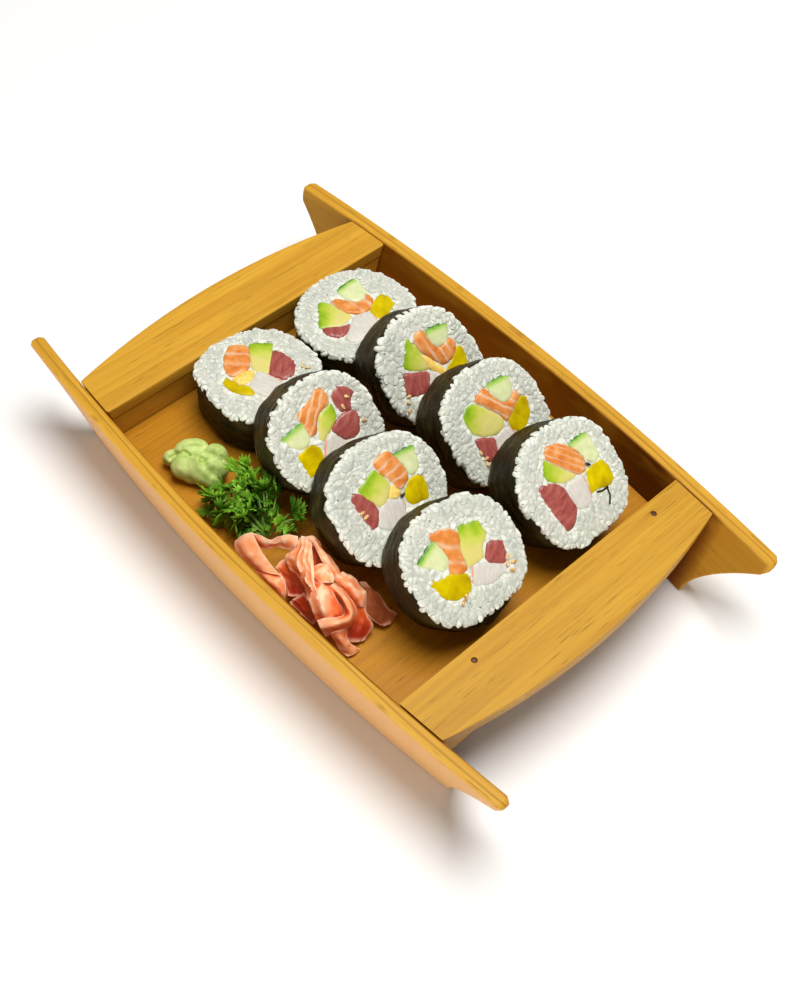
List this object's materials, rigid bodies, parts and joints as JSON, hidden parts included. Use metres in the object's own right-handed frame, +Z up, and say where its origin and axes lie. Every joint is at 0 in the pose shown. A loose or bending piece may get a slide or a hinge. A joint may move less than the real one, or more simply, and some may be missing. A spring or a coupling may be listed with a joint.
{
  "type": "futomaki sushi boat",
  "caption": "Thick sushi roll slices leaning in rows in a bamboo serving boat, with a lump of wasabi, a curly parsley sprig and a heap of pickled ginger.",
  "frame": {"origin": "on the table, under the middle of the boat", "axes": "+X along the boat towards the end that the cut faces lean to, +Y across it away from the garnishes, +Z up"},
  "size_m": [0.273, 0.1692, 0.0718],
  "materials": {
    "bamboo": "satin, clear lacquer over laminated bamboo strips",
    "floor_bamboo": "satin, darker strips running across the boat",
    "nail_steel": "dull, stained dark",
    "sushi_roll": "moist cooked rice wrapped in a dark sheet",
    "nori": "moist, finely wrinkled seaweed sheet",
    "rice": "moist, cooked short grains",
    "salmon": "wet, with pale stripes of fat",
    "tuna": "wet, fine grain",
    "avocado": "smooth, creamy, greener at the skin side",
    "cucumber": "wet, pale flesh under a dark green skin",
    "crab_stick": "moist, fibrous, one edge dyed orange-red",
    "pickled_radish": "wet, translucent yellow",
    "omelette": "soft, fine pores",
    "sesame": "toasted, dry",
    "black_sesame": "dry, near black",
    "wasabi": "moist paste",
    "parsley": "crisp, slightly glossy leaves",
    "pickled_ginger": "wet, translucent slices"
  },
  "bodies": {
    "root": {"side_board_port": "bamboo", "side_board_starboard": "bamboo", "floor_board": "floor_bamboo", "end_block_bow": "bamboo", "end_block_stern": "bamboo", "deck_bow": "bamboo", "deck_stern": "bamboo", "nail_port": "nail_steel", "nail_starboard": "nail_steel", "futomaki_starboard_1": "sushi_roll", "futomaki_starboard_2": "sushi_roll", "futomaki_starboard_3": "sushi_roll", "futomaki_starboard_4": "sushi_roll", "futomaki_port_1": "sushi_roll", "futomaki_port_2": "sushi_roll", "futomaki_port_3": "sushi_roll", "futomaki_port_4": "sushi_roll", "wasabi": "wasabi", "parsley": "parsley", "pickled_ginger": "pickled_ginger"}
  },
  "joints": []
}
